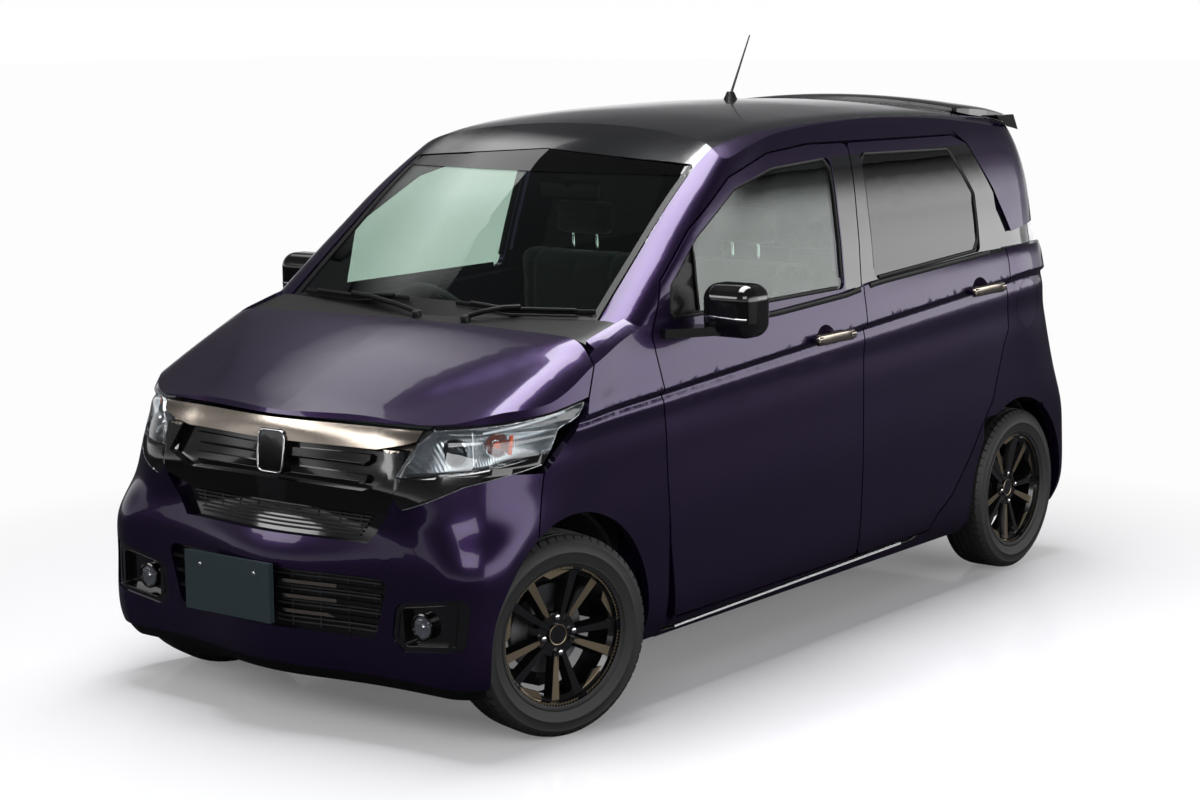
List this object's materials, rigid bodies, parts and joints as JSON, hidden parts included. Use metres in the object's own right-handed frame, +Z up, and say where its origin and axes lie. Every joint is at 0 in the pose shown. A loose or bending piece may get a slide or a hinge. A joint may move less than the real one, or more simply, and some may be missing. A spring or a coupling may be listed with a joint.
{
  "type": "small passenger car",
  "caption": "Tall, short-bonneted small car with a black roof, a dark chrome-barred grille, side doors, a lifting tailgate and a roof antenna.",
  "frame": {"origin": "on the road under the middle of the length and width, at the tyres' lowest points", "axes": "+X forward along the car, +Y to the car's left, +Z up"},
  "size_m": [3.3968, 1.8496, 1.8696],
  "materials": {
    "body_paint": "metallic clear-coated paint",
    "roof_paint": "gloss clear-coated paint",
    "gloss_black": "gloss",
    "matte_black": "grained",
    "clear_glass": "clear, lightly tinted",
    "privacy_glass": "dark tinted",
    "lamp_lens": "clear",
    "red_lens": "moulded red",
    "tyre": "moulded rubber",
    "wheel_metal": "gloss black with machined faces",
    "steel": "painted",
    "cast_metal": "cast",
    "underbody": "sealed",
    "seat_cloth": "woven"
  },
  "bodies": {
    "body": {"antenna": "matte_black", "cowl": "matte_black", "dashboard": "matte_black", "engine_block": "cast_metal", "fender_left": "body_paint", "fender_right": "body_paint", "floor_pan": "underbody", "front_bumper": "body_paint", "grille": "gloss_black", "headlamp_left": "lamp_lens", "headlamp_right": "lamp_lens", "lower_grille": "matte_black", "rear_axle": "steel", "rear_bumper": "body_paint", "roof_panel": "roof_paint", "seat_front_left": "seat_cloth", "seat_front_right": "seat_cloth", "seat_rear": "seat_cloth", "side_frame_left": "body_paint", "side_frame_right": "body_paint", "tail_lamp_left": "red_lens", "tail_lamp_right": "red_lens", "windscreen": "clear_glass"},
    "bonnet": {"bonnet": "body_paint"},
    "tailgate": {"spoiler": "gloss_black", "tailgate": "body_paint", "tailgate_glass": "privacy_glass"},
    "steering_wheel": {"steering_wheel": "matte_black"},
    "front_door_left": {"door_front_left": "body_paint", "glass_front_left": "clear_glass", "mirror_left": "gloss_black"},
    "rear_door_left": {"door_rear_left": "body_paint", "glass_rear_left": "privacy_glass"},
    "knuckle_left": {"knuckle_left": "steel"},
    "wheel_front_left": {"rim_front_left": "wheel_metal", "tyre_front_left": "tyre"},
    "wheel_rear_left": {"rim_rear_left": "wheel_metal", "tyre_rear_left": "tyre"},
    "front_door_right": {"door_front_right": "body_paint", "glass_front_right": "clear_glass", "mirror_right": "gloss_black"},
    "rear_door_right": {"door_rear_right": "body_paint", "glass_rear_right": "privacy_glass"},
    "knuckle_right": {"knuckle_right": "steel"},
    "wheel_front_right": {"rim_front_right": "wheel_metal", "tyre_front_right": "tyre"},
    "wheel_rear_right": {"rim_rear_right": "wheel_metal", "tyre_rear_right": "tyre"}
  },
  "joints": [
    {"name": "bonnet_hinge", "type": "hinge", "parent": "body", "child": "bonnet", "pos_m": [1.0825, 0, 1.085], "axis": [0, -1, 0], "range_deg": [0, 50]},
    {"name": "tailgate_hinge", "type": "hinge", "parent": "body", "child": "tailgate", "pos_m": [-1.2085, 0, 1.643], "axis": [0, 1, 0], "range_deg": [0, 80]},
    {"name": "front_door_left_hinge", "type": "hinge", "parent": "body", "child": "front_door_left", "pos_m": [0.8025, 0.733, 0.7], "axis": [0, 0, -1], "range_deg": [0, 68]},
    {"name": "rear_door_left_hinge", "type": "hinge", "parent": "body", "child": "rear_door_left", "pos_m": [-0.2705, 0.733, 0.7], "axis": [0, 0, -1], "range_deg": [0, 70]},
    {"name": "steer_left", "type": "hinge", "parent": "body", "child": "knuckle_left", "pos_m": [1.2075, 0.5965, 0.281], "axis": [0, 0, 1], "range_deg": [-18.9, 51.1]},
    {"name": "front_wheel_left_spin", "type": "hinge", "parent": "knuckle_left", "child": "wheel_front_left", "pos_m": [1.22303, 0.6503, 0.281], "axis": [0.2773, 0.9608, 0], "continuous": true},
    {"name": "rear_wheel_left_spin", "type": "hinge", "parent": "body", "child": "wheel_rear_left", "pos_m": [-1.3125, 0.6525, 0.281], "axis": [0, 1, 0], "continuous": true},
    {"name": "front_door_right_hinge", "type": "hinge", "parent": "body", "child": "front_door_right", "pos_m": [0.8025, -0.733, 0.7], "axis": [0, 0, 1], "range_deg": [0, 68]},
    {"name": "rear_door_right_hinge", "type": "hinge", "parent": "body", "child": "rear_door_right", "pos_m": [-0.2705, -0.733, 0.7], "axis": [0, 0, 1], "range_deg": [0, 70]},
    {"name": "steer_right", "type": "hinge", "parent": "body", "child": "knuckle_right", "pos_m": [1.2075, -0.5965, 0.281], "axis": [0, 0, 1], "range_deg": [-18.9, 51.1]},
    {"name": "front_wheel_right_spin", "type": "hinge", "parent": "knuckle_right", "child": "wheel_front_right", "pos_m": [1.19197, -0.6503, 0.281], "axis": [0.2773, 0.9608, 0], "continuous": true},
    {"name": "rear_wheel_right_spin", "type": "hinge", "parent": "body", "child": "wheel_rear_right", "pos_m": [-1.3125, -0.6525, 0.281], "axis": [0, 1, 0], "continuous": true},
    {"name": "steering_wheel_turn", "type": "hinge", "parent": "body", "child": "steering_wheel", "pos_m": [0.52206, -0.34663, 0.95163], "axis": [-0.9135, 0, 0.4067], "range_deg": [-283.5, 766.5]}
  ],
  "couplings": [
    {"joint": "steer_right", "follows": "steer_left", "ratio": 1},
    {"joint": "steering_wheel_turn", "follows": "steer_left", "ratio": 15}
  ]
}
